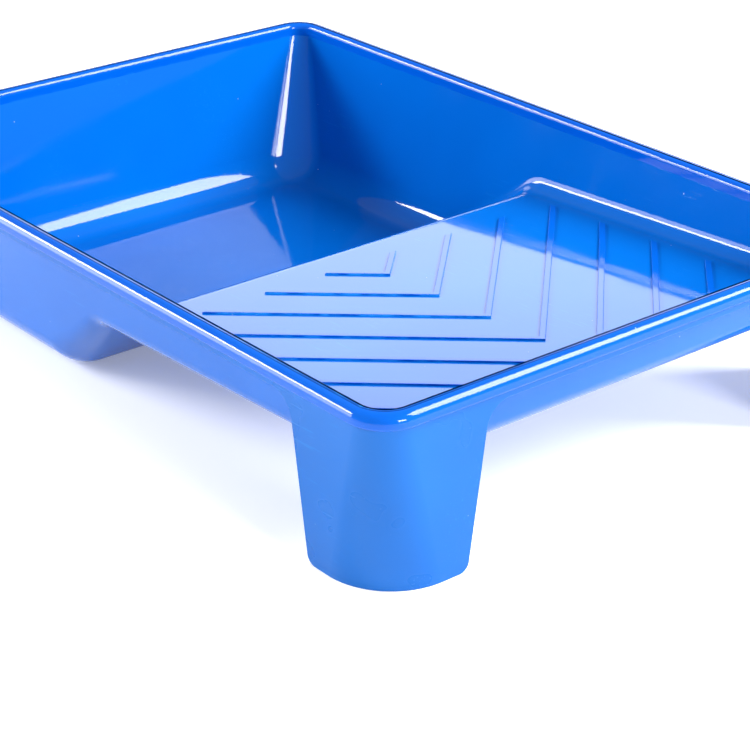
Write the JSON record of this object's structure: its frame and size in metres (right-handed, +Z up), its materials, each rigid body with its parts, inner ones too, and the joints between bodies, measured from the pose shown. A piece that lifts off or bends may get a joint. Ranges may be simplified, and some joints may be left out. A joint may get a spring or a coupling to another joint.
{
  "type": "paint roller tray",
  "caption": "Moulded plastic paint roller tray: a sloping ramp with raised chevron ribs, a deep paint well, a rounded rim and two legs at the shallow end.",
  "frame": {"origin": "on the ground under the middle of the tray's outline", "axes": "+X across the tray to the right, +Y along it from the shallow end with the legs to the deep paint well, +Z up"},
  "size_m": [0.274, 0.396, 0.077],
  "materials": {
    "tray_plastic": "glossy injection-moulded polypropylene, lightly translucent blue"
  },
  "bodies": {
    "root": {"chevron_rib_1": "tray_plastic", "chevron_rib_2": "tray_plastic", "chevron_rib_3": "tray_plastic", "chevron_rib_4": "tray_plastic", "chevron_rib_5": "tray_plastic", "chevron_rib_6_left": "tray_plastic", "chevron_rib_6_right": "tray_plastic", "chevron_rib_7_left": "tray_plastic", "chevron_rib_7_right": "tray_plastic", "deep_end_wall": "tray_plastic", "left_leg": "tray_plastic", "left_wall": "tray_plastic", "long_skirt": "tray_plastic", "ramp_floor": "tray_plastic", "right_leg": "tray_plastic", "right_wall": "tray_plastic", "rim_bead": "tray_plastic", "shallow_end_skirt": "tray_plastic", "shallow_end_wall": "tray_plastic", "well_floor": "tray_plastic", "well_step": "tray_plastic"}
  },
  "joints": []
}
